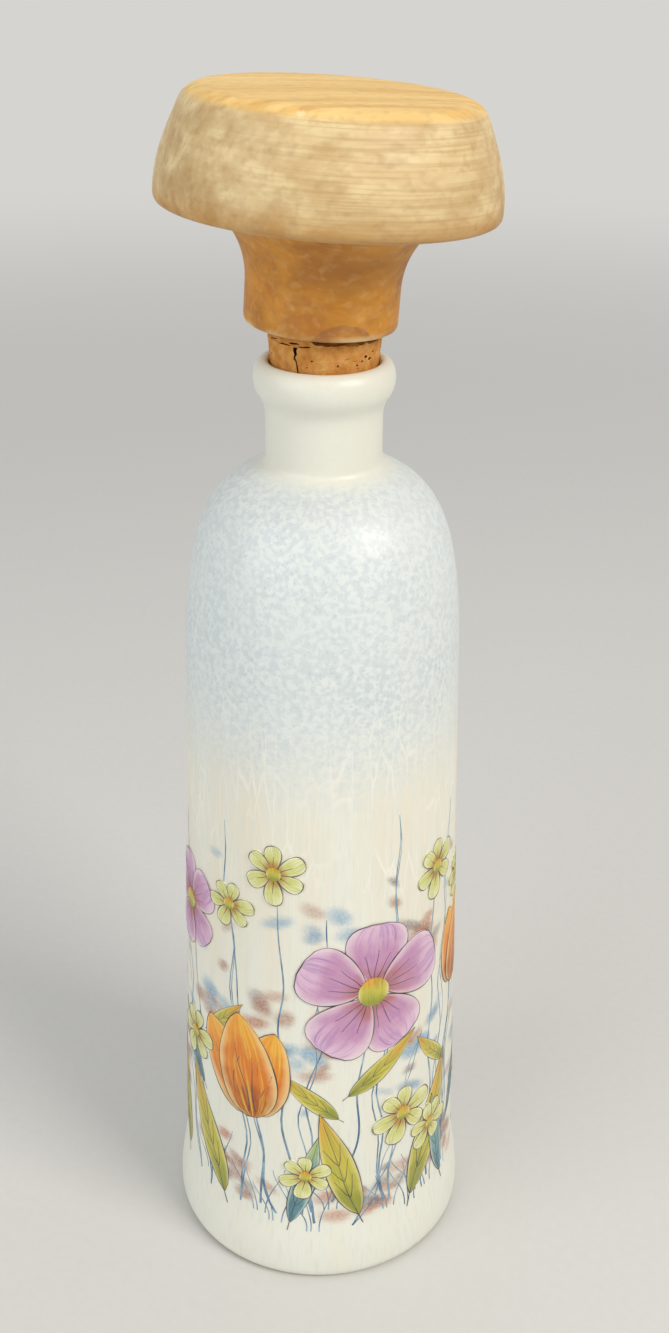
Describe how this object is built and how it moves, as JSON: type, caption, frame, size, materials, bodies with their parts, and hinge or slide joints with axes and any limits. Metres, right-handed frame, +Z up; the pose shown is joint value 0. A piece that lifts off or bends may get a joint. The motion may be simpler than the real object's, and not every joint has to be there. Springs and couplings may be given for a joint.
{
  "type": "decanter",
  "caption": "Tall glazed ceramic decanter with a spread foot, domed shoulder and rolled lip, closed by a cork stopper with a turned wooden mushroom knob that lifts out.",
  "frame": {"origin": "centre of the foot ring, on the surface that the bottle stands on", "axes": "+Z up along the bottle's axis; the pictured front faces -Y, and the knob leans a little towards +X"},
  "size_m": [0.0908, 0.0908, 0.3445],
  "materials": {
    "glaze": "satin ivory glaze, hand painted round the lower half",
    "cork": "natural cork",
    "knob_wood": "satin lacquered pale hardwood",
    "dowel_wood": "bare hardwood"
  },
  "bodies": {
    "bottle": {"bottle": "glaze"},
    "stopper": {"cork": "cork", "dowel": "dowel_wood", "knob": "knob_wood"}
  },
  "joints": [
    {"name": "stopper_lift", "type": "slide", "parent": "bottle", "child": "stopper", "axis": [0, 0, 1], "range_m": [0, 0.05]}
  ]
}
